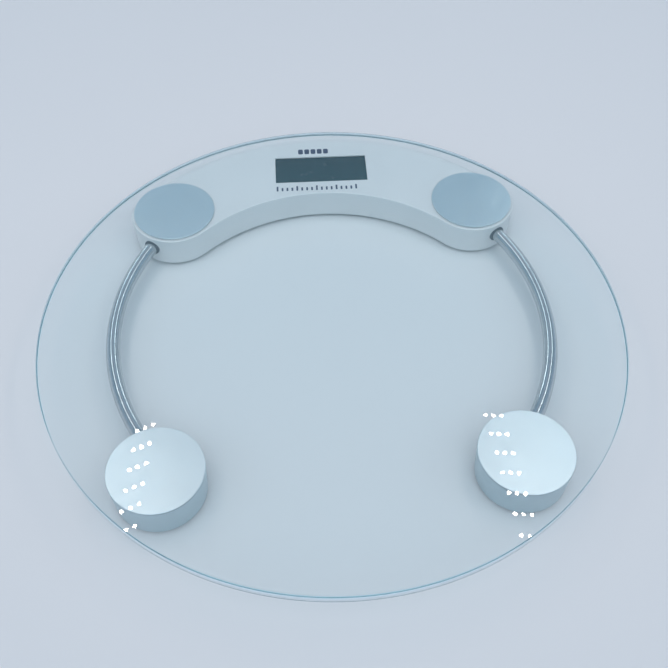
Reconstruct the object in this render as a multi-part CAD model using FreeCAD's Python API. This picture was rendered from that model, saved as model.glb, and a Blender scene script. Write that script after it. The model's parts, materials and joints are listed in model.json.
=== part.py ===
import FreeCAD, Part
import math
import os
from FreeCAD import Vector

# Round glass bathroom scale: a clear glass disc on four load-cell feet. The two rear feet sit in the
# ends of a crescent-shaped plastic case that holds the display, board and batteries. Two curved steel
# tubes carry the wires of the two front feet to that case.
#
# Frame: millimetres, +Z up, origin on the floor under the middle of the glass. The display is at +Y,
# and "left" is -X. Left-hand pieces are modelled, and right-hand ones are their mirror images.

# ---------------------------------------------------------------- driving dimensions
GLASS_R = 165.0
GLASS_T = 6.0
GLASS_EDGE_R = 1.6            # pencil-ground edge

REAR_FOOT = (-94.5, 97.0)     # middle of the rear left foot
FRONT_FOOT = (-94.5, -91.0)   # middle of the front left foot

FLOOR_GAP = 2.5               # floor to the underside of the case and cups
CASE_H = 19.2                 # height of the case and cups
DISC_R = 25.2                 # silver disc under the glass at each foot
DISC_T = 0.8
DISC_EDGE = 0.2
PAD_T = 0.5                   # adhesive pad between a disc and the case or cup below it
REAR_PAD_R = 24.0
FRONT_PAD_R = 25.0

WALL = 2.0                    # casing wall, top and base thickness
DRAFT = 0.9                   # how much an outer wall leans out from its bottom to its top
CUP_R = DISC_R - DRAFT        # front cup at its bottom
END_R = 26.0                  # round end of the crescent, at its bottom
INNER_Y = 110.0               # crescent's inner edge on the centre line, at its bottom
OUTER_Y = 161.3               # crescent's outer edge on the centre line, at its bottom
SHOULDER_Y = 17.0             # middle and radius of the arc where the case top starts to round off
SHOULDER_R = 143.0
SHOULDER_ROUND = 9.0
CASE_EDGE = 0.5               # rounding of the case's sharp edges

TUBE_R = 4.0
TUBE_BORE = 3.0
TUBE_ARC_R = 138.0            # bend radius of the tube's axis
TUBE_ARC_X = 12.3             # middle of that bend, for the left tube
TUBE_ARC_Y = 6.8
TUBE_DROP = 9.0               # tube's axis below the glass
TUBE_END = 16.0               # tube's ends stop this far from the middle of each foot
GROMMET_R = 5.0
GROMMET_LENGTH = 4.5
GROMMET_OUT = 1.2             # how far it stands out of the wall

CELL_SIDE = 28.0              # strain-gauge load cell
CELL_T = 1.8
CELL_CORNER = 3.5
CELL_FIT = 0.2                # how much wider the carrier's pocket is
TONGUE = (11.0, 16.0)         # the load cell's bending tongue, and the slot round it
TONGUE_SLOT = 1.5
TONGUE_ROOM = (20.0, 0.8)     # width and height of the room above the tongue
GAUGE = (3.6, 5.0, 0.3)       # film strain gauge
CARRIER_R = 20.5
FOOT_R = 15.2
FOOT_Z = 0.6                  # underside of the foot's plastic rim
FOOT_HOLE_R = 15.8
FOOT_STEM_R = 4.0
FLANGE_R = 16.6               # lip that keeps a foot in its hole
FOOT_TRAVEL = 0.4             # how far a foot is pressed in at full load
SOLE_R = 13.5
SOLE_T = 1.4
SOLE_GROOVE = (9.5, 8.3, 0.5) # outer and inner radius, and depth, of its anti-slip groove
PRESS_BOSS = (8.0, 5.5)       # outer and inner radius of the pillar on each carrier

CABLE_R = 1.2
LEAD_R = 0.8
BOSS_R = 2.6
BOSS_FIT = 0.3                # clearance of a carrier or seat round a boss
SCREW_R = 1.0
SCREW_HEAD_R = 1.9
SCREW_HEAD_T = 1.1
SCREW_TIP = 0.8
SCREW_CROSS = (2.2, 0.5, 0.6) # length, width and depth of the cross recess
PILOT_R = 1.05
PILOT_DEPTH = 8.0
SCREW_RING = 19.6             # distance of a foot's screws from its middle
REAR_TURN = 20.0              # turn of the rear and front load cells, in degrees
FRONT_TURN = -19.0

WINDOW = (60.0, 24.5)         # display window
WINDOW_Y = 132.5
LCD = (64.0, 29.0)
LCD_T = 1.9
GASKET_T = 0.3
WINDOW_LIP = 0.8

AAA_R = 5.25
AAA_LENGTH = 44.5
AAA_SPACING = 11.2
BAY = (54.0, 24.0)            # inside of the battery bay
DOOR = (50.0, 24.6)
DOOR_T = 1.2
DOOR_GAP = 0.3
DOOR_OPENING = (48.0, 22.4)   # what is cut through the base above the door
HINGE_TAB = (14.0, 8.0)       # place along X, and width, of each of the door's hinge tabs
LATCH_X = 6.4                 # slits on both sides of the door's latch tongue
SCOOP_R = 6.0                 # finger scoop in front of the latch
BUTTON = (42.0, 132.5)
BUTTON_R = 4.0
BUTTON_TRAVEL = 0.6
PLUNGER_R = 1.7

# ---------------------------------------------------------------- heights worked out from them
CASE_Z = FLOOR_GAP
BASE_TOP = CASE_Z + WALL
CASE_TOP = CASE_Z + CASE_H
ROOF = CASE_TOP - WALL
DISC_Z = CASE_TOP + PAD_T
GLASS_Z = DISC_Z + DISC_T
TUBE_Z = GLASS_Z - TUBE_DROP
CELL_Z = BASE_TOP + 1.5
CELL_TOP = CELL_Z + CELL_T
CARRIER_TOP = CELL_TOP + 2.0
LCD_TOP = CASE_TOP - WINDOW_LIP - GASKET_T
LCD_Z = LCD_TOP - LCD_T
PCB_T = 1.2
PCB_TOP = LCD_Z - 1.1
PCB_Z = PCB_TOP - PCB_T
BAY_ROOF = PCB_Z - 1.2
AAA_Z = BASE_TOP + 0.1 + AAA_R
SPRING_WIRE_R = 0.3
SPRING_R = 3.0
CONTACT_GAP = 0.6             # bay's end wall to the face of a contact plate
PLUNGER_TOP = PCB_Z - 2.3
STEM_TOP = PCB_Z - 4.2        # top of the button's stem, where the switch's plunger starts
DOOR_TOP = CASE_Z + DOOR_T
HINGE_Y = WINDOW_Y + DOOR[1] / 2

PCB_X = (-42.0, 52.0)
PCB_Y = (117.0, 148.0)
PCB_SCREWS = [(-39.0, 120.0), (-39.0, 145.5), (49.0, 120.0), (49.0, 145.5)]
CASE_SCREWS = [(-52.0, 108.0), (-58.0, 143.0), (52.0, 108.0), (58.0, 143.0)]
CONNECTOR = (37.0, 141.0)
BOARD_Y_CABLE = 142.0
BOARD_Y_LEAD = 137.8


# ---------------------------------------------------------------- small helpers
def cylinder(x, y, z0, z1, r):
    return Part.makeCylinder(r, z1 - z0, Vector(x, y, z0))


def ring(x, y, z0, z1, r_out, r_in):
    return cylinder(x, y, z0, z1, r_out).cut(cylinder(x, y, z0 - 1, z1 + 1, r_in))


def block(x, y, z0, z1, width, depth):
    """A box with its middle at x, y."""
    return Part.makeBox(width, depth, z1 - z0, Vector(x - width / 2, y - depth / 2, z0))


def mirror(shape):
    return shape.mirror(Vector(0, 0, 0), Vector(1, 0, 0))


def turned(shape, x, y, degrees):
    copy = shape.copy()
    copy.rotate(Vector(x, y, 0), Vector(0, 0, 1), degrees)
    return copy


def round_rims(solid, radius):
    """Round every circular edge of a turned solid."""
    rims = [e for e in solid.Edges if isinstance(e.Curve, Part.Circle)]
    return solid.makeFillet(radius, rims)


def polar(x, y, r, degrees):
    a = math.radians(degrees)
    return x + r * math.cos(a), y + r * math.sin(a)


def save(name, *solids):
    shape = solids[0] if len(solids) == 1 else Part.makeCompound(list(solids))
    shape.exportStep(os.path.join("parts", name + ".step"))


def save_pair(name, left):
    save(name + "_left", left)
    save(name + "_right", mirror(left))


def rounded_path(points, radius):
    """Straight runs through the points, with a tangent arc of about that radius at each corner."""
    edges = []
    start = points[0]
    for before, corner, after in zip(points, points[1:], points[2:]):
        inward = (before - corner).normalize()
        outward = (after - corner).normalize()
        half = inward.getAngle(outward) / 2
        reach = min((before - corner).Length, (after - corner).Length)
        trim = min(radius / math.tan(half), 0.45 * reach)
        a = corner + inward * trim
        b = corner + outward * trim
        to_middle = (inward + outward).normalize()
        sag = trim / math.cos(half) - trim * math.tan(half)
        edges.append(Part.LineSegment(start, a).toShape())
        edges.append(Part.Arc(a, corner + to_middle * sag, b).toShape())
        start = b
    edges.append(Part.LineSegment(start, points[-1]).toShape())
    return edges


def wire_solid(edges, radius):
    """A round wire of that radius along the edges."""
    path = Part.Wire(edges)
    first = path.OrderedEdges[0]
    start = first.valueAt(first.FirstParameter)
    along = first.tangentAt(first.FirstParameter)
    section = Part.Wire(Part.makeCircle(radius, start, along))
    return path.makePipeShell([section], True, False)


# ---------------------------------------------------------------- glass and the four discs
def glass_platform():
    return round_rims(cylinder(0, 0, GLASS_Z, GLASS_Z + GLASS_T, GLASS_R), GLASS_EDGE_R)


def mounting_disc(foot):
    return round_rims(cylinder(foot[0], foot[1], DISC_Z, GLASS_Z, DISC_R), DISC_EDGE)


# ---------------------------------------------------------------- one foot with its load cell
def load_cell(foot, turn):
    """A steel plate with a tongue in its middle, which the foot bends."""
    x, y = foot
    half = CELL_SIDE / 2
    cut = half - CELL_CORNER
    corners = [(half, cut), (cut, half), (-cut, half), (-half, cut)]
    corners += [(-px, -py) for px, py in corners]
    outline = [Vector(x + px, y + py, CELL_Z) for px, py in corners]
    plate = Part.Face(Part.makePolygon(outline + outline[:1])).extrude(Vector(0, 0, CELL_T))
    width, length = TONGUE
    slot = TONGUE_SLOT
    for side in (-1, 1):
        middle = x + side * (width + slot) / 2
        plate = plate.cut(block(middle, y, CELL_Z - 1, CELL_TOP + 1, slot, length))
    free_end = y - (length + slot) / 2
    plate = plate.cut(block(x, free_end, CELL_Z - 1, CELL_TOP + 1, width + 2 * slot, slot))
    return turned(plate, x, y, turn)


def strain_gauges(foot, turn):
    """Two foil gauges near the tongue's root."""
    x, y = foot
    width, length, thick = GAUGE
    patches = [block(x + dx, y + length, CELL_TOP, CELL_TOP + thick, width, length) for dx in (-2.6, 2.6)]
    return [turned(p, x, y, turn) for p in patches]


def carrier(foot, turn, wire_hole):
    """Holds the load cell by its rim and leaves room above its tongue."""
    x, y = foot
    room_w, room_h = TONGUE_ROOM
    body = cylinder(x, y, CELL_Z, CARRIER_TOP, CARRIER_R)
    pocket = block(x, y, CELL_Z - 1, CELL_TOP, CELL_SIDE + CELL_FIT, CELL_SIDE + CELL_FIT)
    room = block(x, y, CELL_TOP - 1, CELL_TOP + room_h, room_w, room_w)
    body = body.cut([turned(pocket, x, y, turn), turned(room, x, y, turn)])
    for k in range(4):
        px, py = polar(x, y, SCREW_RING, turn + 90 * k)
        body = body.cut(cylinder(px, py, CELL_Z - 1, CARRIER_TOP + 1, BOSS_R + BOSS_FIT))
    hole = cylinder(wire_hole[0], wire_hole[1], CELL_Z, CARRIER_TOP + 1, CABLE_R + 0.4)
    return body.cut(hole)


def foot_pad(foot):
    """The foot, loose in its hole in the base, with a stem that presses on the load cell's tongue."""
    x, y = foot
    lip_z = BASE_TOP + 0.2
    lip_top = CELL_Z - FOOT_TRAVEL - 0.2
    body = cylinder(x, y, FOOT_Z, lip_z, FOOT_R)
    lip = cylinder(x, y, lip_z, lip_top, FLANGE_R)
    stem = cylinder(x, y, lip_top, CELL_Z, FOOT_STEM_R)
    pocket = cylinder(x, y, FOOT_Z - 1, SOLE_T, SOLE_R + 0.1)
    return body.fuse([lip, stem]).cut(pocket).removeSplitter()


def sole(foot):
    """Rubber sole with an anti-slip groove round it."""
    x, y = foot
    groove_out, groove_in, depth = SOLE_GROOVE
    disc = round_rims(cylinder(x, y, 0, SOLE_T, SOLE_R), 0.3)
    return disc.cut(ring(x, y, -1, depth, groove_out, groove_in))


def base_opening(foot, turn):
    """What a base loses at a foot, the foot's hole, and what it gains, a ring under the carrier."""
    x, y = foot
    hole = cylinder(x, y, CASE_Z - 1, BASE_TOP + 1, FOOT_HOLE_R)
    seat = ring(x, y, BASE_TOP, CELL_Z, CARRIER_R, FLANGE_R + 0.6)
    for k in range(4):
        px, py = polar(x, y, SCREW_RING, turn + 90 * k)
        seat = seat.cut(cylinder(px, py, CASE_Z, CELL_Z + 1, BOSS_R + BOSS_FIT))
    return hole, seat


# ---------------------------------------------------------------- screws
def screw(x, y, z, length):
    """A self-tapping screw that points up, with the bottom of its head at height z."""
    tip_z = z + length - SCREW_TIP
    long, narrow, deep = SCREW_CROSS
    head = cylinder(x, y, z, z + SCREW_HEAD_T, SCREW_HEAD_R)
    shank = cylinder(x, y, z + SCREW_HEAD_T, tip_z, SCREW_R)
    tip = Part.makeCone(SCREW_R, 0.3, SCREW_TIP, Vector(x, y, tip_z))
    slots = [block(x, y, z - 1, z + deep, long, narrow), block(x, y, z - 1, z + deep, narrow, long)]
    return head.fuse([shank, tip]).cut(slots)


def screw_hole(x, y):
    """Counterbore and clearance hole for a screw through a base."""
    counterbore = cylinder(x, y, CASE_Z - 1, CASE_Z + 1.4, SCREW_HEAD_R + 0.2)
    return counterbore.fuse(cylinder(x, y, CASE_Z, BASE_TOP + 1, SCREW_R + 0.2))


def base_screw(x, y):
    return screw(x, y, CASE_Z + 0.3, 8.5)


def boss(x, y, z0, z1):
    """A pillar hanging from the roof, with a pilot hole up its middle."""
    pillar = cylinder(x, y, z0, z1, BOSS_R)
    return pillar.cut(cylinder(x, y, z0 - 1, z0 + PILOT_DEPTH, PILOT_R))


def press_boss(foot):
    """The hollow pillar that passes the load from the roof to a carrier."""
    return ring(foot[0], foot[1], CARRIER_TOP, ROOF, *PRESS_BOSS)


# ---------------------------------------------------------------- tubes and wires
def tube_angle(foot, distance, towards_rear):
    """Angle on the left tube's arc, from its -X direction, of the point that far from a foot."""
    dx = TUBE_ARC_X - foot[0]
    dy = foot[1] - TUBE_ARC_Y
    span = math.hypot(dx, dy)
    spread = math.acos((span**2 + TUBE_ARC_R**2 - distance**2) / (2 * span * TUBE_ARC_R))
    middle = math.atan2(dy, dx)
    return middle - spread if towards_rear else middle + spread


def tube_point(angle):
    x = TUBE_ARC_X - TUBE_ARC_R * math.cos(angle)
    y = TUBE_ARC_Y + TUBE_ARC_R * math.sin(angle)
    return Vector(x, y, TUBE_Z)


def tube_direction(angle):
    """The way the tube runs there, towards the rear."""
    return Vector(math.sin(angle), math.cos(angle), 0)


def tube_arc(front, rear):
    return Part.Arc(tube_point(front), tube_point((front + rear) / 2), tube_point(rear)).toShape()


def tube_left():
    front = tube_angle(FRONT_FOOT, TUBE_END, False)
    rear = tube_angle(REAR_FOOT, TUBE_END, True)
    arc = tube_arc(front, rear)
    outside = wire_solid([arc], TUBE_R)
    return outside.cut(wire_solid([arc], TUBE_BORE))


def grommet_at(foot, wall_r, towards_rear):
    """A collar round the tube, from just outside the wall to well inside it."""
    angle = tube_angle(foot, wall_r, towards_rear)
    inward = tube_direction(angle) * (1 if towards_rear else -1)
    start = tube_point(angle) - inward * GROMMET_OUT
    body = Part.makeCylinder(GROMMET_R - 0.05, GROMMET_LENGTH, start, inward)
    return body.cut(Part.makeCylinder(TUBE_R + 0.06, GROMMET_LENGTH + 2, start - inward, inward))


def grommet_hole(foot, wall_r, towards_rear):
    angle = tube_angle(foot, wall_r, towards_rear)
    inward = tube_direction(angle) * (1 if towards_rear else -1)
    return Part.makeCylinder(GROMMET_R, 14.0, tube_point(angle) - inward * 6, inward)


def cable_hole_front():
    """Where the front cable comes up through its carrier."""
    angle = tube_angle(FRONT_FOOT, TUBE_END + 1, False)
    return tube_point(angle) - tube_direction(angle) * 5.0


def cable_left():
    """From the front load cell up, through the tube, round the rear press boss and to the board."""
    front = tube_angle(FRONT_FOOT, TUBE_END + 1, False)
    rear = tube_angle(REAR_FOOT, TUBE_END + 1, True)
    top = cable_hole_front()
    bottom = Vector(top.x, top.y, CELL_TOP + 0.1)
    leaving = tube_point(rear)
    corner = leaving + tube_direction(rear) * 4.0
    way = [(-84, 85), (-70, 118), (-50, BOARD_Y_CABLE), (-CONNECTOR[0] - 2.5, BOARD_Y_CABLE)]
    route = [leaving, corner] + [Vector(x, y, TUBE_Z) for x, y in way]
    edges = rounded_path([bottom, top, tube_point(front)], 2.5)
    return wire_solid(edges + [tube_arc(front, rear)] + rounded_path(route, 6.0), CABLE_R)


LEAD_START = (REAR_FOOT[0] + 11.5, REAR_FOOT[1] - 4.0)


def lead_left():
    """The rear load cell's own leads to the board, low enough to pass under the cable."""
    x, y = LEAD_START
    low = CARRIER_TOP + 1.5
    high = PCB_Z - 3.0
    end_x = -CONNECTOR[0] - 2.5
    way = [(x, y, CELL_TOP + 0.1), (x, y, low), (-66, 112, low), (-51, BOARD_Y_LEAD, low)]
    way += [(-44.5, BOARD_Y_LEAD, high), (end_x, BOARD_Y_LEAD, high)]
    return wire_solid(rounded_path([Vector(*p) for p in way], 2.0), LEAD_R)


# ---------------------------------------------------------------- front foot cups
def front_cup():
    x, y = FRONT_FOOT
    outside = round_rims(Part.makeCone(CUP_R, DISC_R, CASE_H, Vector(x, y, CASE_Z)), CASE_EDGE)
    inside = Part.makeCone(CUP_R - WALL, DISC_R - WALL, CASE_H - WALL, Vector(x, y, CASE_Z))
    cup = outside.cut(inside).fuse(press_boss(FRONT_FOOT))
    for k in range(4):
        px, py = polar(x, y, SCREW_RING, FRONT_TURN + 90 * k)
        cup = cup.fuse(boss(px, py, BASE_TOP, ROOF))
        cup = cup.cut(cylinder(px, py, BASE_TOP - 1, BASE_TOP + PILOT_DEPTH, PILOT_R))
    return cup.cut(grommet_hole(FRONT_FOOT, CUP_R, False)).removeSplitter()


def front_base():
    x, y = FRONT_FOOT
    hole, seat = base_opening(FRONT_FOOT, FRONT_TURN)
    plate = cylinder(x, y, CASE_Z, BASE_TOP, CUP_R - WALL - 0.15).cut(hole).fuse(seat)
    for k in range(4):
        plate = plate.cut(screw_hole(*polar(x, y, SCREW_RING, FRONT_TURN + 90 * k)))
    return plate


def front_base_screws():
    x, y = FRONT_FOOT
    return [base_screw(*polar(x, y, SCREW_RING, FRONT_TURN + 90 * k)) for k in range(4)]


# ---------------------------------------------------------------- crescent case
def crescent(grow, z):
    """The case's outline: an outer and an inner arc, joined smoothly by two round ends. It is grown
    outward by grow all round."""
    ex, ey = -REAR_FOOT[0], REAR_FOOT[1]
    reach = INNER_Y + END_R
    inner_y = (ex**2 + ey**2 - reach**2) / (2 * (ey - reach))
    reach = OUTER_Y - END_R
    outer_y = (ex**2 + ey**2 - reach**2) / (2 * (ey - reach))
    inner_r = INNER_Y - inner_y - grow
    outer_r = OUTER_Y - outer_y + grow
    end_r = END_R + grow
    out_angle = math.atan2(ey - outer_y, ex)
    in_angle = math.atan2(ey - inner_y, ex) - math.pi
    side_angle = (out_angle + in_angle) / 2

    def on_end(angle, side):
        return Vector(side * (ex + end_r * math.cos(angle)), ey + end_r * math.sin(angle), z)

    outer_top = Vector(0, outer_y + outer_r, z)
    inner_top = Vector(0, inner_y + inner_r, z)
    edges = [
        Part.Arc(on_end(out_angle, -1), outer_top, on_end(out_angle, 1)),
        Part.Arc(on_end(out_angle, 1), on_end(side_angle, 1), on_end(in_angle, 1)),
        Part.Arc(on_end(in_angle, 1), inner_top, on_end(in_angle, -1)),
        Part.Arc(on_end(in_angle, -1), on_end(side_angle, -1), on_end(out_angle, -1)),
    ]
    return Part.Wire([e.toShape() for e in edges])


def crescent_solid(grow, z0, z1):
    """The crescent between two heights, its walls leaning out by the case's draft."""
    slope = DRAFT / CASE_H
    low = crescent(grow + (z0 - CASE_Z) * slope, z0)
    high = crescent(grow + (z1 - CASE_Z) * slope, z1)
    return Part.makeLoft([low, high], True, True)


def shoulder_cutter(top):
    """Everything above the rounded shoulder along the case's outer edge."""
    r, rounding = SHOULDER_R, SHOULDER_ROUND
    half = rounding * math.sqrt(0.5)
    start = Vector(r, SHOULDER_Y, top)
    bulge = Vector(r + half, SHOULDER_Y, top - rounding + half)
    end = Vector(r + rounding, SHOULDER_Y, top - rounding)
    far = Vector(r + 2 * rounding, SHOULDER_Y, top - rounding)
    edges = [Part.Arc(start, bulge, end).toShape()]
    corners = [end, far, Vector(far.x, SHOULDER_Y, top + 3), Vector(r, SHOULDER_Y, top + 3), start]
    edges += [Part.LineSegment(a, b).toShape() for a, b in zip(corners, corners[1:])]
    profile = Part.Face(Part.Wire(edges))
    return profile.revolve(Vector(0, SHOULDER_Y, 0), Vector(0, 0, 1), 360)


def rear_end_screws():
    """Places of the two base screws in the left end of the case."""
    return [polar(*REAR_FOOT, SCREW_RING, REAR_TURN + turn) for turn in (90, 180)]


def housing_screw_places():
    ends = rear_end_screws()
    return CASE_SCREWS + ends + [(-x, y) for x, y in ends]


def housing_shell():
    outside = crescent_solid(0, CASE_Z, CASE_TOP).cut(shoulder_cutter(CASE_TOP))
    top_edges = [e for e in outside.Edges if e.BoundBox.ZMin > BASE_TOP]
    outside = outside.makeFillet(CASE_EDGE, top_edges)
    inside = crescent_solid(-WALL, CASE_Z - 1, ROOF).cut(shoulder_cutter(ROOF))
    shell = outside.cut(inside)
    pillars = [boss(x, y, BASE_TOP, ROOF) for x, y in housing_screw_places()]
    pillars += [press_boss(REAR_FOOT), mirror(press_boss(REAR_FOOT))]
    shell = shell.fuse(pillars)
    posts = [cylinder(x, y, PCB_TOP, ROOF, 2.4) for x, y in PCB_SCREWS]
    shell = shell.fuse(posts)
    pilots = [cylinder(x, y, PCB_TOP - 1, PCB_TOP + 3.0, PILOT_R) for x, y in PCB_SCREWS]
    window = block(0, WINDOW_Y, ROOF - 1, CASE_TOP + 1, *WINDOW)
    pocket = block(0, WINDOW_Y, ROOF - 1, CASE_TOP - WINDOW_LIP, LCD[0] + 0.4, LCD[1] + 0.4)
    socket = grommet_hole(REAR_FOOT, END_R, True)
    return shell.cut(pilots + [window, pocket, socket, mirror(socket)])


def bay_walls():
    """The battery bay's box, open to the door below and notched for the door's hinge tabs."""
    wall = 1.4
    outer = block(0, WINDOW_Y, BASE_TOP, BAY_ROOF + 1.0, BAY[0] + 2 * wall, BAY[1] + 2 * wall)
    inner = block(0, WINDOW_Y, BASE_TOP - 1, BAY_ROOF, *BAY)
    box = outer.cut(inner)
    tab_x, tab_w = HINGE_TAB
    for side in (-1, 1):
        box = box.cut(block(side * tab_x, HINGE_Y + 1.0, BASE_TOP, BASE_TOP + 3.2, tab_w + 0.8, 5.0))
    return box


def housing_base():
    outline = Part.Face(crescent(-WALL - 0.15, CASE_Z))
    plate = outline.extrude(Vector(0, 0, WALL))
    hole, seat = base_opening(REAR_FOOT, REAR_TURN)
    plate = plate.cut([hole, mirror(hole)]).fuse([seat, mirror(seat), bay_walls()])
    recess_top = DOOR_TOP + 0.05
    recess = block(0, WINDOW_Y, CASE_Z - 1, recess_top, DOOR[0] + 2 * DOOR_GAP, DOOR[1] + 2 * DOOR_GAP)
    opening = block(0, WINDOW_Y, CASE_Z - 1, BASE_TOP + 0.5, *DOOR_OPENING)
    scoop = cylinder(0, WINDOW_Y - DOOR[1] / 2 - DOOR_GAP, CASE_Z - 1, CASE_Z + 1.0, SCOOP_R)
    tilt_gap = block(0, HINGE_Y - 0.75, DOOR_TOP, BASE_TOP + 0.5, DOOR[0] + 2 * DOOR_GAP, 2.1)
    button_hole = cylinder(*BUTTON, CASE_Z - 1, BASE_TOP + 1, BUTTON_R + 0.25)
    plate = plate.cut([recess, opening, scoop, tilt_gap, button_hole])
    return plate.cut([screw_hole(x, y) for x, y in housing_screw_places()])


# ---------------------------------------------------------------- battery bay and door
def battery_door():
    """A plate with two hinge tabs at its rear edge and a springy latch tongue at its front edge."""
    front_y = WINDOW_Y - DOOR[1] / 2
    plate = block(0, WINDOW_Y, CASE_Z, DOOR_TOP, *DOOR)
    tab_x, tab_w = HINGE_TAB
    tab_z = BASE_TOP + 0.15
    tab_top = tab_z + 0.85
    tabs = []
    for side in (-1, 1):
        tabs.append(block(side * tab_x, HINGE_Y - 0.45, DOOR_TOP, tab_top, tab_w, 0.9))
        tabs.append(block(side * tab_x, HINGE_Y + 0.65, tab_z, tab_top, tab_w, 3.1))
    slits = [block(side * LATCH_X, front_y + 3.5, CASE_Z - 1, DOOR_TOP + 1, 0.8, 7.0) for side in (-1, 1)]
    ribs = [block(0, front_y + 2.0 + 1.6 * k, CASE_Z - 0.25, CASE_Z, 9.0, 0.7) for k in range(3)]
    return plate.fuse(tabs + ribs).cut(slits).removeSplitter()


def battery_cell(y, flip):
    """An AAA cell along X. Its nub touches the contact at -X, or at +X if flipped."""
    tip = -BAY[0] / 2 + CONTACT_GAP
    nub_r, nub_l = 1.9, 0.8
    nub = Part.makeCylinder(nub_r, nub_l, Vector(tip, y, AAA_Z), Vector(1, 0, 0))
    can = Part.makeCylinder(AAA_R, AAA_LENGTH - nub_l, Vector(tip + nub_l, y, AAA_Z), Vector(1, 0, 0))
    cell = round_rims(can, 0.5).fuse(nub)
    return mirror(cell) if flip else cell


def battery_spring(y, flip):
    """The spring between a cell's flat end and its contact plate: a helix of quarter-turn arcs."""
    quarters = 18
    start = -BAY[0] / 2 + CONTACT_GAP + AAA_LENGTH + SPRING_WIRE_R
    length = BAY[0] / 2 - CONTACT_GAP - SPRING_WIRE_R - start

    def on_coil(quarter):
        turn = math.radians(90 * quarter)
        x = start + length * quarter / quarters
        return Vector(x, y + SPRING_R * math.cos(turn), AAA_Z + SPRING_R * math.sin(turn))

    arcs = [Part.Arc(on_coil(k), on_coil(k + 0.5), on_coil(k + 1)).toShape() for k in range(quarters)]
    coil = wire_solid(arcs, SPRING_WIRE_R)
    return mirror(coil) if flip else coil


def battery_contacts():
    thick = CONTACT_GAP / 2
    middle = BAY[0] / 2 - CONTACT_GAP + thick / 2
    plate = block(middle, WINDOW_Y, BASE_TOP + 1.0, BASE_TOP + 9.5, thick, BAY[1] - 3.0)
    return [plate, mirror(plate)]


# ---------------------------------------------------------------- button, switch, board, display
def unit_button():
    x, y = BUTTON
    cap = cylinder(x, y, CASE_Z - 0.3, BASE_TOP + 0.05, BUTTON_R)
    lip = cylinder(x, y, BASE_TOP + 0.05, BASE_TOP + 0.85, BUTTON_R + 1.2)
    stem = cylinder(x, y, BASE_TOP + 0.85, STEM_TOP, 1.8)
    return cap.fuse([lip, stem]).removeSplitter()


def unit_switch():
    x, y = BUTTON
    body = block(x, y, PCB_Z - 3.4, PCB_Z, 6.0, 6.0)
    return body.cut(cylinder(x, y, STEM_TOP - 0.2, PLUNGER_TOP + BUTTON_TRAVEL + 0.2, PLUNGER_R + 0.15))


def switch_plunger():
    return cylinder(*BUTTON, STEM_TOP, PLUNGER_TOP, PLUNGER_R)


def main_pcb():
    width = PCB_X[1] - PCB_X[0]
    depth = PCB_Y[1] - PCB_Y[0]
    board = block((PCB_X[0] + PCB_X[1]) / 2, (PCB_Y[0] + PCB_Y[1]) / 2, PCB_Z, PCB_TOP, width, depth)
    return board.cut([cylinder(x, y, PCB_Z - 1, PCB_TOP + 1, SCREW_R + 0.15) for x, y in PCB_SCREWS])


def pcb_components():
    """The resin blob over the chip, and some small surface-mount parts, under the board."""
    blob = Part.makeCone(3.0, 4.2, 1.3, Vector(36.0, 123.5, PCB_Z - 1.3))
    chips = [block(31.5 + 2.6 * k, 131.0, PCB_Z - 0.8, PCB_Z, 1.6, 3.0) for k in range(2)]
    chips += [block(-33.5 - 2.6 * k, 125.5, PCB_Z - 0.8, PCB_Z, 1.6, 3.0) for k in range(3)]
    return [blob] + chips


def wire_connectors():
    x, y = CONNECTOR
    one = block(x, y - 1.2, PCB_Z - 4.0, PCB_Z, 5.0, 7.2)
    return [one, mirror(one)]


def pcb_screws():
    return [screw(x, y, PCB_Z - 1.1, 4.8) for x, y in PCB_SCREWS]


def lcd_panel():
    return block(0, WINDOW_Y, LCD_Z, LCD_TOP, *LCD)


def lcd_gasket():
    outer = block(0, WINDOW_Y, LCD_TOP, LCD_TOP + GASKET_T, LCD[0], LCD[1])
    return outer.cut(block(0, WINDOW_Y, LCD_TOP - 1, CASE_TOP, WINDOW[0] + 0.6, WINDOW[1] + 0.6))


def zebra_strips():
    """Rubber strips that join the display's glass to the board."""
    gap = LCD[1] / 2 - 2.0
    return [block(0, WINDOW_Y + side * gap, PCB_TOP, LCD_Z, 58.0, 2.2) for side in (-1, 1)]


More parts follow.
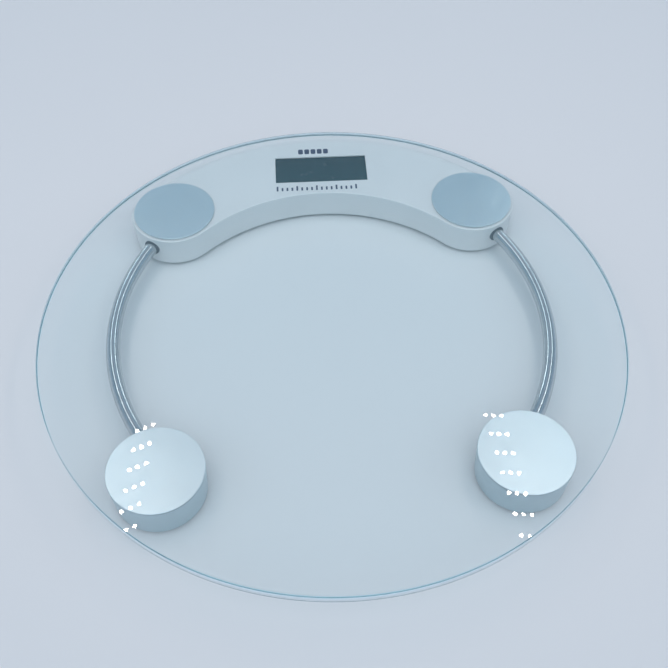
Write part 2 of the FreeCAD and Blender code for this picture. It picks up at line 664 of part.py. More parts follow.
# ---------------------------------------------------------------- the whole scale
def main():
    os.makedirs("parts", exist_ok=True)
    save("glass_platform", glass_platform())
    save("housing_shell", housing_shell())
    save("housing_base", housing_base())
    save("housing_screws", *[base_screw(x, y) for x, y in housing_screw_places()])

    for end, foot, turn, pad_r, wire_hole in (
        ("rear", REAR_FOOT, REAR_TURN, REAR_PAD_R, LEAD_START),
        ("front", FRONT_FOOT, FRONT_TURN, FRONT_PAD_R, cable_hole_front()),
    ):
        save_pair("mounting_disc_" + end, mounting_disc(foot))
        pad = cylinder(*foot, CASE_TOP, DISC_Z, pad_r)
        save("adhesive_pads_" + end, pad, mirror(pad))
        save_pair("load_cell_" + end, load_cell(foot, turn))
        save_pair("cell_carrier_" + end, carrier(foot, turn, wire_hole))
        save_pair("foot_" + end, foot_pad(foot))
        save_pair("sole_" + end, sole(foot))
    gauges = strain_gauges(REAR_FOOT, REAR_TURN) + strain_gauges(FRONT_FOOT, FRONT_TURN)
    save("strain_gauges", *gauges, *[mirror(g) for g in gauges])

    save_pair("front_cup", front_cup())
    save_pair("front_base", front_base())
    screws = front_base_screws()
    save("front_base_screws", *screws, *[mirror(s) for s in screws])

    save_pair("tube", tube_left())
    grommets = [grommet_at(REAR_FOOT, END_R, True), grommet_at(FRONT_FOOT, CUP_R, False)]
    save("tube_grommets", *grommets, *[mirror(g) for g in grommets])
    save_pair("cable", cable_left())
    lead = lead_left()
    save("rear_cell_leads", lead, mirror(lead))

    save("battery_door", battery_door())
    near, far = WINDOW_Y - AAA_SPACING / 2, WINDOW_Y + AAA_SPACING / 2
    save("battery_cells", battery_cell(near, False), battery_cell(far, True))
    save("battery_springs", battery_spring(near, False), battery_spring(far, True))
    save("battery_contacts", *battery_contacts())

    save("unit_button", unit_button())
    save("unit_switch", unit_switch())
    save("switch_plunger", switch_plunger())
    save("main_pcb", main_pcb())
    save("pcb_components", *pcb_components())
    save("wire_connectors", *wire_connectors())
    save("pcb_screws", *pcb_screws())
    save("lcd_panel", lcd_panel())
    save("lcd_gasket", lcd_gasket())
    save("lcd_zebra_strips", *zebra_strips())


main()
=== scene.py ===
import json
import math

import bmesh
import bpy
from mathutils import Matrix, Vector


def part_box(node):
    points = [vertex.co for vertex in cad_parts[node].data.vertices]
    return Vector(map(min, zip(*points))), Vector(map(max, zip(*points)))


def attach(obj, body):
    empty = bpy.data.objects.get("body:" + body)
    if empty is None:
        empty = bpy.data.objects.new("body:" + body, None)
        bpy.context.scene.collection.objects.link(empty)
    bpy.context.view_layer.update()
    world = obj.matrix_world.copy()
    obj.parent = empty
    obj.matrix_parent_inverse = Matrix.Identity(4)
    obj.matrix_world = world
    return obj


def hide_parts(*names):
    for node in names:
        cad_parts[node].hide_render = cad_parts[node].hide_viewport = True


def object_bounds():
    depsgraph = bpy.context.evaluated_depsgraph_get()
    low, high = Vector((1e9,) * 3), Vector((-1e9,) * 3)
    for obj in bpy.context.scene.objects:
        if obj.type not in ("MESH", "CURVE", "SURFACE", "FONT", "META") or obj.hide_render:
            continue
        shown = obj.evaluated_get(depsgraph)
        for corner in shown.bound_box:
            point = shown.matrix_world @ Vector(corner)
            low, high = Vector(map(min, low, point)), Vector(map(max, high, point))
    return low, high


# A round clear-glass bathroom scale: the finish of every CAD node, the glass with its edge, and the printed
# marks, on a pale floor in a tent of light.

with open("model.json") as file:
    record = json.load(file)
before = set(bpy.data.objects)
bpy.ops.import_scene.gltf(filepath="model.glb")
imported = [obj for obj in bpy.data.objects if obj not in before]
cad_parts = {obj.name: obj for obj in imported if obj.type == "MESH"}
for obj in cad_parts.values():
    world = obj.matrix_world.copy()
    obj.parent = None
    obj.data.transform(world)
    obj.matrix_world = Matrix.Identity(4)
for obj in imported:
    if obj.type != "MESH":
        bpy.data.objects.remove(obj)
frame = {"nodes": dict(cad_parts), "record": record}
cad_low, cad_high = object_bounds()
NODES = frame["nodes"]
MM = 0.001


# ---------------------------------------------------------------- node helpers
def math_node(tree, operation, *values):
    """A Math node in tree whose inputs are numbers or other nodes' sockets. Its result."""
    node = tree.nodes.new("ShaderNodeMath")
    node.operation = operation
    for socket, value in zip(node.inputs, values):
        if isinstance(value, (int, float)):
            socket.default_value = value
        else:
            tree.links.new(value, socket)
    return node.outputs[0]


class Surface:
    """A material with one Principled shader, and short calls that add texture nodes to it."""

    def __init__(self, name, color, roughness, metallic=0.0):
        self.material = bpy.data.materials.new(name)
        self.material.use_nodes = True
        self.tree = self.material.node_tree
        self.nodes = self.tree.nodes
        self.shader = self.nodes["Principled BSDF"]
        self.output = self.nodes["Material Output"]
        self.set("Base Color", (*color, 1.0))
        self.set("Roughness", roughness)
        self.set("Metallic", metallic)
        self.color = color
        self.normal = None    # of the last bump
        self.place = self.nodes.new("ShaderNodeTexCoord").outputs["Object"]

    def set(self, socket, value):
        self.shader.inputs[socket].default_value = value

    def link(self, source, target):
        self.tree.links.new(source, target)

    def math(self, operation, first, second):
        return math_node(self.tree, operation, first, second)

    def along(self, axis):
        """The place on the object along X, Y or Z."""
        parts = self.nodes.new("ShaderNodeSeparateXYZ")
        self.link(self.place, parts.inputs[0])
        return parts.outputs[axis]

    def scaled(self, scale, offset=(0, 0, 0)):
        """The place on the object, moved by offset and then scaled along each axis."""
        moved = self.nodes.new("ShaderNodeVectorMath")
        moved.operation = "ADD"
        self.link(self.place, moved.inputs[0])
        moved.inputs[1].default_value = offset
        node = self.nodes.new("ShaderNodeVectorMath")
        node.operation = "MULTIPLY"
        self.link(moved.outputs[0], node.inputs[0])
        node.inputs[1].default_value = scale
        return node.outputs[0]

    def noise(self, size, detail=3.0, roughness=0.55, where=None):
        """Noise from 0 to 1 whose blobs are about size metres wide."""
        node = self.nodes.new("ShaderNodeTexNoise")
        self.link(where or self.place, node.inputs["Vector"])
        node.inputs["Scale"].default_value = 1.0 / size
        node.inputs["Detail"].default_value = detail
        node.inputs["Roughness"].default_value = roughness
        return node.outputs["Fac"]

    def cells(self, size, feature="F1"):
        """Distances in a pattern of irregular cells, each about size metres wide."""
        node = self.nodes.new("ShaderNodeTexVoronoi")
        node.feature = feature
        self.link(self.place, node.inputs["Vector"])
        node.inputs["Scale"].default_value = 1.0 / size
        return node.outputs["Distance"]

    def stripes(self, size):
        """Waves across X, each about 0.3 times size metres wide."""
        node = self.nodes.new("ShaderNodeTexWave")
        node.bands_direction = "X"
        node.inputs["Scale"].default_value = 1.0 / size
        self.link(self.place, node.inputs["Vector"])
        return node.outputs["Fac"]

    def spread(self, value, low, high, new_low, new_high):
        """The value's range from low to high, stretched to the new range and cut off at its ends."""
        node = self.nodes.new("ShaderNodeMapRange")
        self.link(value, node.inputs["Value"])
        node.inputs["From Min"].default_value = low
        node.inputs["From Max"].default_value = high
        node.inputs["To Min"].default_value = new_low
        node.inputs["To Max"].default_value = new_high
        return node.outputs["Result"]

    def tint(self, value, low_color, high_color, low=0.3, high=0.7):
        """The base colour runs from low_color to high_color as value goes from low to high."""
        ramp = self.nodes.new("ShaderNodeValToRGB")
        ramp.color_ramp.elements[0].position = low
        ramp.color_ramp.elements[1].position = high
        ramp.color_ramp.elements[0].color = (*low_color, 1.0)
        ramp.color_ramp.elements[1].color = (*high_color, 1.0)
        self.link(value, ramp.inputs["Fac"])
        self.link(ramp.outputs["Color"], self.shader.inputs["Base Color"])

    def vary(self, value, by):
        """Small changes of the base colour's brightness, by a share of it each way."""
        dark = tuple(c * (1 - by) for c in self.color)
        light = tuple(min(1.0, c * (1 + by)) for c in self.color)
        self.tint(value, dark, light)

    def roughen(self, value, low, high):
        """The roughness runs from low to high with the value's middle range."""
        self.link(self.spread(value, 0.3, 0.7, low, high), self.shader.inputs["Roughness"])

    def bump(self, height, depth):
        """Raise the surface by height, which runs from 0 to 1, times depth metres."""
        node = self.nodes.new("ShaderNodeBump")
        node.inputs["Strength"].default_value = 1.0
        node.inputs["Distance"].default_value = depth
        self.link(height, node.inputs["Height"])
        if self.normal is not None:
            self.link(self.normal, node.inputs["Normal"])
        self.normal = node.outputs["Normal"]
        self.link(self.normal, self.shader.inputs["Normal"])


# ---------------------------------------------------------------- materials
def moulded(name, color, roughness, depth=0.012 * MM):
    """Injection-moulded plastic: a fine spark-eroded grain, faint flow clouds, and handling marks."""
    s = Surface(name, color, roughness)
    s.vary(s.noise(38 * MM, 4.0), 0.018)
    s.roughen(s.noise(9 * MM, 5.0), roughness - 0.05, roughness + 0.07)
    s.bump(s.noise(30 * MM, 2.0), 0.05 * MM)
    s.bump(s.noise(0.45 * MM, 2.0, 0.6), depth)
    return s.material


def pearl_plastic():
    """The case's top: a pearl-white satin moulding with a trace of flake in it."""
    s = Surface("pearl_plastic", (0.745, 0.735, 0.73), 0.36)
    clouds = s.noise(45 * MM, 3.0)
    flakes = s.noise(0.35 * MM, 1.0)
    mixed = s.math("ADD", s.math("MULTIPLY", clouds, 0.65), s.math("MULTIPLY", flakes, 0.35))
    s.vary(mixed, 0.03)
    s.roughen(s.noise(7 * MM, 5.0), 0.32, 0.42)
    s.bump(s.noise(26 * MM, 2.0), 0.04 * MM)
    s.bump(s.noise(0.5 * MM, 2.0, 0.6), 0.008 * MM)
    s.set("Coat Weight", 0.25)
    s.set("Coat Roughness", 0.2)
    return s.material


def silver_plastic():
    """Silver paint on the front cups: fine aluminium flake under a satin lacquer."""
    s = Surface("silver_plastic", (0.51, 0.62, 0.665), 0.38, 0.75)
    flakes = s.cells(0.3 * MM)
    clouds = s.noise(20 * MM)
    s.vary(s.math("ADD", s.math("MULTIPLY", flakes, 0.7), s.math("MULTIPLY", clouds, 0.3)), 0.12)
    s.roughen(s.noise(6 * MM, 4.0), 0.33, 0.44)
    s.bump(flakes, 0.006 * MM)
    s.bump(s.noise(22 * MM, 2.0), 0.03 * MM)
    s.set("Coat Weight", 0.3)
    s.set("Coat Roughness", 0.25)
    return s.material


def disc_finish(name, node):
    """A silver disc, turned so finely that its rings only soften what it reflects."""
    low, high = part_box(node)
    middle = (low + high) / 2
    s = Surface(name, (0.64, 0.745, 0.80), 0.35, 0.9)
    centred = s.scaled((1, 1, 0), (-middle.x, -middle.y, 0))
    radius = s.nodes.new("ShaderNodeVectorMath")
    radius.operation = "LENGTH"
    s.link(centred, radius.inputs[0])
    rings = s.nodes.new("ShaderNodeTexNoise")
    rings.noise_dimensions = "1D"
    s.link(radius.outputs["Value"], rings.inputs["W"])
    rings.inputs["Scale"].default_value = 1 / (0.25 * MM)
    rings.inputs["Detail"].default_value = 2.0
    s.vary(s.noise(16 * MM, 4.0), 0.02)
    s.roughen(s.noise(5 * MM, 5.0), 0.32, 0.39)
    s.bump(rings.outputs["Fac"], 0.0012 * MM)
    s.bump(s.noise(0.3 * MM, 2.0), 0.002 * MM)
    return s.material


def polished_tube():
    """Polished plated steel with a little haze, and fine polishing lines from front to rear."""
    s = Surface("polished_tube", (0.52, 0.56, 0.585), 0.08, 1.0)
    s.vary(s.noise(8 * MM, 3.0), 0.03)
    s.roughen(s.noise(3 * MM, 6.0), 0.05, 0.11)
    s.bump(s.noise(0.4 * MM, 4.0, 0.7, s.scaled((1.0, 0.08, 1.0))), 0.0015 * MM)
    return s.material


def plated_steel(name, color=(0.70, 0.70, 0.69), roughness=0.3):
    """Plated sheet, wire or screws, with faint drawing lines from left to right and a little tarnish."""
    s = Surface(name, color, roughness, 1.0)
    s.vary(s.noise(4 * MM, 5.0), 0.08)
    s.roughen(s.noise(2 * MM, 5.0), roughness - 0.08, roughness + 0.12)
    s.bump(s.noise(0.5 * MM, 4.0, 0.65, s.scaled((0.15, 1.0, 1.0))), 0.004 * MM)
    return s.material


def rubber(name, color, roughness=0.75):
    """Dull rubber, vinyl or foam with a fine uneven skin."""
    s = Surface(name, color, roughness)
    s.vary(s.noise(5 * MM, 6.0), 0.12)
    s.roughen(s.noise(3 * MM, 5.0), roughness - 0.1, roughness + 0.1)
    s.bump(s.noise(0.6 * MM, 5.0, 0.7), 0.03 * MM)
    s.set("Specular IOR Level", 0.3)
    return s.material


def lcd_cell():
    """A switched-off display: a dark slate polariser under smooth glass, with painted shade that darkens it
    towards its far edge.
    """
    low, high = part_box("lcd_panel")
    s = Surface("lcd_cell", (0.03, 0.06, 0.07), 0.22)
    # painted shade: the cell runs darker from its near edge to its far edge; the clouds are random tone
    depth = s.spread(s.along("Y"), low.y, high.y, 0.35, 0.65)
    clouds = s.math("MULTIPLY", s.math("SUBTRACT", s.noise(14 * MM), 0.5), 0.25)
    s.tint(s.math("ADD", depth, clouds), (0.012, 0.054, 0.064), (0.004, 0.030, 0.040))
    s.roughen(s.noise(6 * MM, 4.0), 0.18, 0.28)
    s.bump(s.noise(0.4 * MM, 2.0), 0.002 * MM)
    s.set("Coat Weight", 0.3)
    s.set("Coat Roughness", 0.05)
    return s.material


def circuit_board():
    """Green solder mask over etched tracks, which show as slightly raised lighter lines."""
    s = Surface("circuit_board", (0.02, 0.16, 0.07), 0.35)
    tracks = s.cells(5 * MM, "DISTANCE_TO_EDGE")
    on_track = s.spread(tracks, 0.03, 0.06, 1.0, 0.0)
    s.tint(on_track, (0.015, 0.11, 0.05), (0.04, 0.24, 0.11), 0.2, 0.8)
    s.roughen(s.noise(4 * MM), 0.28, 0.42)
    s.bump(on_track, 0.035 * MM)
    s.set("Coat Weight", 0.4)
    return s.material


def battery_jacket():
    """Shrink film round the cells, dark blue at one end and running into gold at the other."""
    s = Surface("battery_jacket", (0.06, 0.12, 0.20), 0.25)
    length = s.spread(s.along("X"), -26 * MM, 26 * MM, 0.0, 1.0)
    s.tint(length, (0.05, 0.10, 0.18), (0.55, 0.42, 0.12))
    s.roughen(s.noise(5 * MM, 4.0), 0.2, 0.34)
    s.bump(s.noise(2 * MM, 3.0), 0.02 * MM)
    s.set("Coat Weight", 0.5)
    return s.material


def zebra_rubber():
    """Thin dark conducting layers between pale silicone ones, stacked along the strip."""
    s = Surface("zebra_rubber", (0.30, 0.30, 0.32), 0.7)
    layers = s.stripes(4.2 * MM)
    s.tint(layers, (0.05, 0.05, 0.05), (0.55, 0.52, 0.48), 0.4, 0.6)
    s.roughen(s.noise(1 * MM), 0.6, 0.8)
    s.bump(layers, 0.01 * MM)
    return s.material


def gauge_foil():
    """Amber film with the gauge's folded foil grid on it."""
    s = Surface("gauge_foil", (0.62, 0.30, 0.06), 0.35)
    grid = s.stripes(2.4 * MM)
    s.tint(grid, (0.62, 0.30, 0.06), (0.72, 0.62, 0.45), 0.55, 0.7)
    s.roughen(s.noise(1 * MM), 0.25, 0.45)
    s.bump(grid, 0.01 * MM)
    return s.material


GLASS_INDEX = 1.52
GLASS_TINT = (0.33, 0.87, 0.93, 1.0)
GLASS_DENSITY = 14.0          # how strongly a metre of the glass takes its tint


def clear_glass():
    """Tempered glass with the faint green-blue of its thickness. Light from lamps and light on its way to
    dull surfaces go straight through, so that the floor under it is lit evenly."""
    s = Surface("clear_glass", (1.0, 1.0, 1.0), 0.0)
    s.set("IOR", GLASS_INDEX)
    s.set("Transmission Weight", 1.0)
    s.roughen(s.noise(24 * MM, 6.0, 0.7), 0.0, 0.012)
    s.bump(s.noise(60 * MM, 1.0), 0.02 * MM)
    clear = s.nodes.new("ShaderNodeBsdfTransparent")
    clear.inputs["Color"].default_value = (1.0, 1.0, 1.0, 1.0)
    path = s.nodes.new("ShaderNodeLightPath")
    straight = s.math("MAXIMUM", path.outputs["Is Shadow Ray"], path.outputs["Is Diffuse Ray"])
    mix = s.nodes.new("ShaderNodeMixShader")
    s.link(straight, mix.inputs["Fac"])
    s.link(s.shader.outputs["BSDF"], mix.inputs[1])
    s.link(clear.outputs["BSDF"], mix.inputs[2])
    s.link(mix.outputs["Shader"], s.output.inputs["Surface"])
    depth = s.nodes.new("ShaderNodeVolumeAbsorption")
    depth.inputs["Color"].default_value = GLASS_TINT
    depth.inputs["Density"].default_value = GLASS_DENSITY
    s.link(depth.outputs["Volume"], s.output.inputs["Volume"])
    return s.material


def ground_glass(low, high):
    """The rim's ground wall from height low to high: pale, dull glass with fine grinding lines round it, and
    painted shade that darkens it along its lower edge."""
    s = Surface("ground_glass", (0.76, 0.81, 0.84), 0.6)
    height = s.spread(s.along("Z"), low, high, 0.0, 1.0)
    patches = s.math("MULTIPLY", s.noise(3 * MM, 5.0, where=s.scaled((1, 1, 8))), 0.06)
    # painted shade: the wall is dark along its lower edge and pale above it; the patches are random tone
    s.tint(s.math("ADD", height, patches), (0.20, 0.30, 0.35), (0.77, 0.82, 0.85), 0.10, 0.24)
    s.roughen(s.noise(2 * MM, 4.0), 0.5, 0.7)
    s.bump(s.noise(0.2 * MM, 3.0, where=s.scaled((0.3, 0.3, 1))), 0.01 * MM)
    return s.material


def printed_ink():
    """Pad-printed navy ink, a little thin in places."""
    s = Surface("printed_ink", (0.03, 0.045, 0.10), 0.45)
    s.vary(s.noise(0.4 * MM, 3.0), 0.35)
    s.roughen(s.noise(0.3 * MM), 0.4, 0.6)
    s.bump(s.noise(0.15 * MM), 0.01 * MM)
    return s.material


def floor_paper():
    """A plain pale sheet with the faintest tooth. From below it is clear, so the underside can be seen."""
    s = Surface("floor_paper", (0.76, 0.76, 0.76), 0.85)
    s.vary(s.noise(0.35, 3.0), 0.006)
    s.roughen(s.noise(0.02, 4.0), 0.8, 0.9)
    s.bump(s.noise(0.8 * MM, 3.0), 0.02 * MM)
    s.set("Specular IOR Level", 0.1)
    mix = s.nodes.new("ShaderNodeMixShader")
    s.link(s.nodes.new("ShaderNodeNewGeometry").outputs["Backfacing"], mix.inputs["Fac"])
    s.link(s.shader.outputs["BSDF"], mix.inputs[1])
    s.link(s.nodes.new("ShaderNodeBsdfTransparent").outputs["BSDF"], mix.inputs[2])
    s.link(mix.outputs["Shader"], s.output.inputs["Surface"])
    return s.material


def paint(node, material):
    mesh = NODES[node].data
    mesh.materials.clear()
    mesh.materials.append(material)


def paint_frame(glass):
    """Every CAD node gets the finish of its material slot."""
    finishes = {
        "clear_glass": glass,
        "pearl_plastic": pearl_plastic(),
        "base_plastic": moulded("base_plastic", (0.70, 0.715, 0.72), 0.5, depth=0.03 * MM),
        "silver_plastic": silver_plastic(),
        "adhesive": rubber("adhesive_foam", (0.10, 0.11, 0.12)),
        "polished_tube": polished_tube(),
        "grommet_rubber": rubber("grommet_rubber", (0.13, 0.155, 0.175)),
        "sole_rubber": rubber("sole_rubber", (0.20, 0.215, 0.23)),
        "foot_plastic": moulded("foot_plastic", (0.66, 0.68, 0.69), 0.48, depth=0.02 * MM),
        "button_plastic": moulded("button_plastic", (0.32, 0.40, 0.47), 0.42, depth=0.02 * MM),
        "plated_steel": plated_steel("plated_steel"),
        "steel_screws": plated_steel("steel_screws", (0.58, 0.585, 0.60), 0.34),
        "gauge_foil": gauge_foil(),
        "cable_jacket": rubber("cable_jacket", (0.62, 0.62, 0.60), 0.5),
        "battery_jacket": battery_jacket(),
        "black_plastic": moulded("black_plastic", (0.03, 0.03, 0.032), 0.4),
        "connector_plastic": moulded("connector_plastic", (0.72, 0.70, 0.62), 0.45),
        "circuit_board": circuit_board(),
        "lcd_glass": lcd_cell(),
        "black_foam": rubber("black_foam", (0.03, 0.034, 0.038)),
        "zebra_rubber": zebra_rubber(),
    }
    for part in frame["record"]["subparts"]:
        node, slot = part["node"], part["material_slot"]
        if slot == "disc_finish":
            paint(node, disc_finish("disc_" + node.replace("mounting_disc_", ""), node))
        else:
            paint(node, finishes[slot])


# ---------------------------------------------------------------- pieces made here
def finished_mesh(name, bm):
    """A mesh of that name with the shape that bm holds, which isn't needed any more."""
    mesh = bpy.data.meshes.new(name)
    bm.to_mesh(mesh)
    bm.free()
    return mesh


def new_piece(name, mesh, material, body):
    """A visible object of that mesh and material, which moves with the body."""
    piece = bpy.data.objects.new(name, mesh)
    bpy.context.scene.collection.objects.link(piece)
    mesh.materials.append(material)
    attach(piece, body)
    return piece


GLASS_BEVEL = (0.3 * MM, 0.85 * MM)    # the top edge's bevel, across and down
GLASS_UNDER = 0.4 * MM                 # the lower edge's bevel, across and down
GLASS_LIFT = 0.03 * MM                 # from the discs up to the glass
GLASS_STEPS = 720                      # faces round the rim
GROUND_SKIN = 0.04 * MM                # the ground wall's depth in the clear glass, and its thickness
SHARP_EDGE = math.radians(20)          # a fold from which an edge isn't shaded smooth


def turned_mesh(name, profile, closed=False):
    """A mesh turned round Z from (radius, height) points: a ring if closed, else a disc with flat ends."""
    steps = GLASS_STEPS
    bm = bmesh.new()
    rings = []
    for radius, height in profile:
        angles = (math.tau * k / steps for k in range(steps))
        rings.append([bm.verts.new((radius * math.cos(a), radius * math.sin(a), height)) for a in angles])
    pairs = list(zip(rings, rings[1:]))
    if closed:
        pairs.append((rings[-1], rings[0]))
    for low, high in pairs:
        for k in range(steps):
            n = (k + 1) % steps
            bm.faces.new((low[k], low[n], high[n], high[k]))
    if not closed:
        bm.faces.new(reversed(rings[0]))
        bm.faces.new(rings[-1])
    for face in bm.faces:
        face.smooth = len(face.verts) == 4
    for edge in bm.edges:
        edge.smooth = edge.calc_face_angle(0.0) < SHARP_EDGE
    return finished_mesh(name, bm)


def glass_disc():
    """The platform's glass, bevelled and with a ground wall, a hair above the discs. Returns its material."""
    low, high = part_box("glass_platform")
    bottom, rim = low.z + GLASS_LIFT, high.x
    across, down = GLASS_BEVEL
    under = [(rim - GLASS_UNDER, bottom), (rim, bottom + GLASS_UNDER)]
    top = [(rim, high.z - down), (rim - across, high.z)]
    glass = clear_glass()
    piece = new_piece("glass_disc", turned_mesh("glass_disc", under + top), glass, "platform")
    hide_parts("glass_platform")
    outer, inner = rim - GROUND_SKIN, rim - 2 * GROUND_SKIN
    lower, upper = bottom + GLASS_UNDER, high.z - down - GROUND_SKIN
    ring = [(outer, lower), (outer, upper), (inner, upper), (inner, lower)]
    mesh = turned_mesh("glass_rim", ring, closed=True)
    new_piece("glass_rim", mesh, ground_glass(lower, upper), "platform")
    return glass


INK_THICKNESS = 0.02 * MM
INK_LIFT = 0.005 * MM                      # above the case top
UPPER_MARK = (-15.0, 6.0, 147.8, 152.6)    # left, right, near and far edge on the case top, in millimetres
UPPER_BLOCKS = 5
BLOCK_INSET = 0.5                          # half the gap between two blocks, in millimetres
LOWER_MARK = (-29.0, 22.0, 112.2, 116.6)   # the first and last tick's middles, and their near and far ends
LOWER_TICKS = 17
LONG_TICK_EVERY = 4
SHORT_TICK = 0.7                           # of a long one
TICK_HALF = 0.58                           # half a tick's width, in millimetres
CORNER_CUT = 0.18                          # of a bar's shorter side


def ink_bar(bm, left, right, near, far, z):
    """One printed bar, as a thin plate with cut corners. Its edges are in millimetres, and z in metres."""
    cut = CORNER_CUT * min(right - left, far - near)
    outline = [(left + cut, near), (right - cut, near), (right, near + cut), (right, far - cut)]
    outline += [(right - cut, far), (left + cut, far), (left, far - cut), (left, near + cut)]
    low = [bm.verts.new((x * MM, y * MM, z)) for x, y in outline]
    high = [bm.verts.new((x * MM, y * MM, z + INK_THICKNESS)) for x, y in outline]
    bm.faces.new(reversed(low))
    bm.faces.new(high)
    for k in range(len(low)):
        n = (k + 1) % len(low)
        bm.faces.new((low[k], low[n], high[n], high[k]))


def printed_marks():
    """Plain printed marks on the case: a row of blocks behind the display, and a tick scale before it."""
    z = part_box("housing_shell")[1].z + INK_LIFT
    bm = bmesh.new()
    left, right, near, far = UPPER_MARK
    pitch = (right - left) / UPPER_BLOCKS
    for k in range(UPPER_BLOCKS):
        ink_bar(bm, left + k * pitch + BLOCK_INSET, left + (k + 1) * pitch - BLOCK_INSET, near, far, z)
    left, right, near, far = LOWER_MARK
    pitch = (right - left) / (LOWER_TICKS - 1)
    for k in range(LOWER_TICKS):
        x = left + k * pitch
        reach = far if k % LONG_TICK_EVERY == 0 else near + SHORT_TICK * (far - near)
        ink_bar(bm, x - TICK_HALF, x + TICK_HALF, near, reach, z)
    mesh = finished_mesh("printed_marks", bm)
    new_piece("printed_marks", mesh, printed_ink(), "platform")


# ---------------------------------------------------------------- stage, lights and camera
FLOOR_HALF = 8.0              # half the side of the floor
FLOOR_DROP = 0.05 * MM        # from the soles down to the floor


def stage_floor():
    mesh = bpy.data.meshes.new("floor")
    half = FLOOR_HALF
    corners = [(-half, -half, 0), (half, -half, 0), (half, half, 0), (-half, half, 0)]
    mesh.from_pydata(corners, [], [(0, 1, 2, 3)])
    floor = bpy.data.objects.new("floor", mesh)
    floor.location.z = cad_low.z - FLOOR_DROP
    mesh.materials.append(floor_paper())
    bpy.context.scene.collection.objects.link(floor)


REAR_SKY = (                  # sine of the height above the horizon, and the light from there
    (0.0, (0.58, 0.67, 0.785)),
    (0.22, (0.54, 0.645, 0.775)),
    (0.42, (0.235, 0.34, 0.45)),
    (0.60, (0.25, 0.37, 0.49)),
    (0.72, (0.36, 0.49, 0.615)),
    (0.86, (0.485, 0.445, 0.505)),
    (0.93, (0.62, 0.575, 0.64)),
    (0.95, (1.38, 1.34, 1.47)),
    (0.975, (1.38, 1.34, 1.47)),
    (0.985, (0.95, 1.02, 1.12)),
)
FRONT_SKY = (
    (0.0, (0.58, 0.67, 0.785)),
    (0.10, (0.44, 0.54, 0.65)),
    (0.20, (0.24, 0.36, 0.46)),
    (0.34, (0.25, 0.375, 0.48)),
    (0.5, (0.68, 0.81, 0.955)),
    (0.75, (1.30, 1.47, 1.66)),
    (0.93, (1.50, 1.69, 1.90)),
    (0.975, (1.50, 1.69, 1.90)),
    (0.985, (0.95, 1.02, 1.12)),
)
TURN = ((0.43, 1.0), (0.51, 0.0))      # share of the front sky, from the front at 0 to the rear at 1
SIDES = (                     # sine of the angle to either side, and the light's share there
    (0.0, 1.0),
    (0.335, 1.0),
    (0.35, 0.40),
    (0.385, 0.40),
    (0.40, 1.0),
    (0.45, 1.0),
    (0.48, 0.55),
    (0.60, 0.60),
    (0.68, 1.25),
    (0.80, 1.1),
    (1.0, 1.0),
)
SIDES_FROM = ((0.25, 0.0), (0.38, 1.0))      # height over which the sides' darker bands fade in
MIX_FIRST, MIX_SECOND, MIX_RESULT = 6, 7, 2  # a Mix node's colour sockets; others have the same names


def light_tent():
    """A tent round the object: bright above and in front, darker half way up, with bands at the sides."""
    world = bpy.data.worlds.new("tent")
    bpy.context.scene.world = world
    world.use_nodes = True
    tree = world.node_tree
    nodes, links = tree.nodes, tree.links
    place = nodes.new("ShaderNodeTexCoord")
    parts = nodes.new("ShaderNodeSeparateXYZ")
    links.new(place.outputs["Generated"], parts.inputs[0])
    x, y, z = parts.outputs

    def ramp(source, steps):
        node = nodes.new("ShaderNodeValToRGB")
        links.new(source, node.inputs["Fac"])
        stops = node.color_ramp.elements
        while len(stops) < len(steps):
            stops.new(0.5)
        for stop, (position, color) in zip(stops, steps):
            stop.position = position
            stop.color = (*color, 1.0) if isinstance(color, tuple) else (color, color, color, 1.0)
        return node.outputs["Color"]

    mixed = nodes.new("ShaderNodeMix")
    mixed.data_type = "RGBA"
    links.new(ramp(math_node(tree, "MULTIPLY_ADD", y, 0.5, 0.5), TURN), mixed.inputs["Factor"])
    links.new(ramp(z, REAR_SKY), mixed.inputs[MIX_FIRST])
    links.new(ramp(z, FRONT_SKY), mixed.inputs[MIX_SECOND])
    links.new(mixed.outputs[MIX_RESULT], nodes["Background"].inputs["Color"])
    sides = math_node(tree, "SUBTRACT", ramp(math_node(tree, "ABSOLUTE", x), SIDES), 1.0)
    shown = math_node(tree, "MULTIPLY_ADD", sides, ramp(z, SIDES_FROM), 1.0)
    links.new(shown, nodes["Background"].inputs["Strength"])
    world.cycles.sampling_method = "NONE"    # the tent is large and soft, so rays find it by themselves


LEFT, RIGHT = -1, 1
LAMP_SIZE = 4.2 * MM
LAMP_ENERGY = 0.0034          # in watts
LAMP_COLOR = (1.0, 0.88, 0.80)
LAMP_HEIGHT = 0.45            # above the glass
LAMP_X = 0.1925               # each strip's distance from the middle at its rear end
LAMP_OUT = 0.0021             # and how much farther out each row is than the one behind it
LAMP_REAR = {LEFT: 0.2303, RIGHT: 0.2247}    # the strip's rear end
LAMP_PITCH = 0.0245           # from one row of lamps to the next
LAMP_ROWS = 18
LAMP_ACROSS = 0.0086          # from one lamp to the next in its row
LAMP_TURN = 0.15              # slant of every row, and of the left and right rows against each other
LAMP_SPREAD = 0.27
SEAM_AT = (2.52, 3.72, 4.14)  # a long seam of light on the tent's right, mirrored on its left
SEAM_WIDTH = 0.31
SEAM_LENGTH = 5.6
SEAM_ENERGY = 32.0            # in watts


def place_lamp(lamp, x, y):
    """One lamp of a strip. It isn't seen itself, only mirrored."""
    point = bpy.data.objects.new(lamp.name, lamp)
    point.location = (x, y, cad_high.z + LAMP_HEIGHT)
    point.visible_camera = False
    point.visible_transmission = False
    bpy.context.scene.collection.objects.link(point)


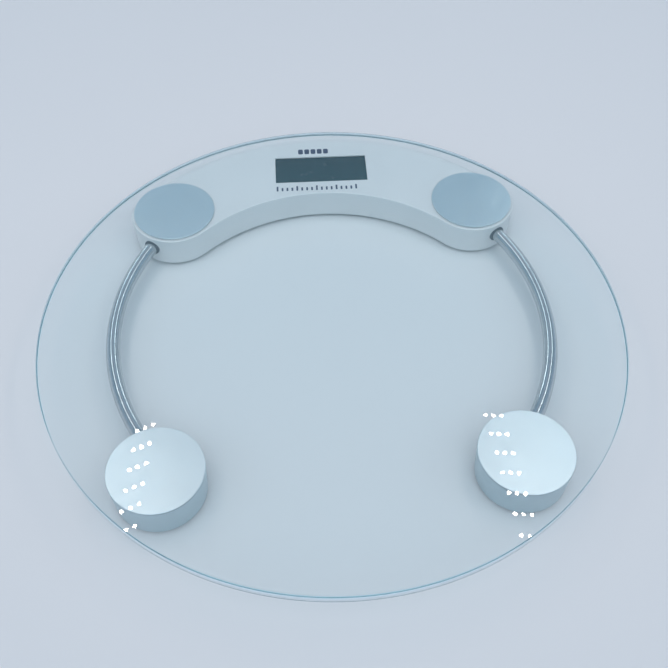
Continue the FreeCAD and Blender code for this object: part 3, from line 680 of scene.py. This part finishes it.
def lamp_strips():
    """Two strips of small lamps along the tent's roof, three to a row."""
    lamp = bpy.data.lights.new("strip_lamp", "AREA")
    lamp.shape = "DISK"
    lamp.size = LAMP_SIZE
    lamp.energy = LAMP_ENERGY
    lamp.color = LAMP_COLOR
    for side in (LEFT, RIGHT):
        for row in range(LAMP_ROWS):
            for column in (-1, 0, 1):
                slant = column * (LAMP_TURN - side * LAMP_SPREAD)
                x = side * (LAMP_X + row * LAMP_OUT) + column * LAMP_ACROSS
                place_lamp(lamp, x, LAMP_REAR[side] - row * LAMP_PITCH + slant * LAMP_ACROSS)


def seams():
    """Two long far seams of light. The tubes mirror them through the glass, which is linked to them too."""
    polished = bpy.data.collections.new("polished")
    for name in ("tube_left", "tube_right", "glass_disc"):
        polished.objects.link(bpy.data.objects[name])
    glow = bpy.data.lights.new("seam", "AREA")
    glow.shape = "RECTANGLE"
    glow.size = SEAM_WIDTH
    glow.size_y = SEAM_LENGTH
    glow.energy = SEAM_ENERGY
    for side in (LEFT, RIGHT):
        x, y, z = SEAM_AT
        away = Vector((side * x, y, z)).normalized()
        along = Vector((0, -z, y)).normalized()
        turned = Matrix((along.cross(away), along, away)).transposed().to_4x4()
        turned.translation = (side * x, y, z)
        lamp = bpy.data.objects.new("seam", glow)
        lamp.matrix_world = turned
        lamp.visible_camera = False
        lamp.visible_diffuse = False
        lamp.visible_glossy = False
        lamp.light_linking.receiver_collection = polished
        bpy.context.scene.collection.objects.link(lamp)


CAMERA_LENS = 49.42           # focal length and sensor width, in millimetres
CAMERA_SENSOR = 36.0
CAMERA_NEAR = 0.01            # what is closer than this isn't seen
CAMERA_PLACE = (-0.01934, -0.33263, 0.39918)    # from the middle of the glass's top
CAMERA_BACK = (-0.03824, -0.62644, 0.77853)     # away from what it looks at
CAMERA_RIGHT = (0.99831, -0.05807, 0.00231)


def camera():
    """A camera in front of the object and above it, a little to the left."""
    data = bpy.data.cameras.new("camera")
    data.lens = CAMERA_LENS
    data.sensor_width = CAMERA_SENSOR
    data.clip_start = CAMERA_NEAR
    back = Vector(CAMERA_BACK).normalized()
    up = back.cross(Vector(CAMERA_RIGHT)).normalized()
    right = up.cross(back)
    view = Matrix((right, up, back)).transposed().to_4x4()
    x, y, height = CAMERA_PLACE
    view.translation = (x, y, cad_high.z + height)
    eye = bpy.data.objects.new("camera", data)
    eye.matrix_world = view
    bpy.context.scene.collection.objects.link(eye)
    bpy.context.scene.camera = eye


LIGHT_BOUNCES = 64            # light runs a long way inside the glass to its rim
CLEAR_LAYERS = 16             # clear surfaces that a ray may pass
BRIGHTEST_BOUNCE = 4.0        # limits the specks of light that bounces leave

scene = bpy.context.scene
scene.view_settings.view_transform = "Standard"
scene.cycles.max_bounces = LIGHT_BOUNCES
scene.cycles.transmission_bounces = LIGHT_BOUNCES
scene.cycles.glossy_bounces = LIGHT_BOUNCES
scene.cycles.transparent_max_bounces = CLEAR_LAYERS
scene.cycles.sample_clamp_indirect = BRIGHTEST_BOUNCE

paint_frame(glass_disc())
printed_marks()
stage_floor()
light_tent()
lamp_strips()
seams()
camera()
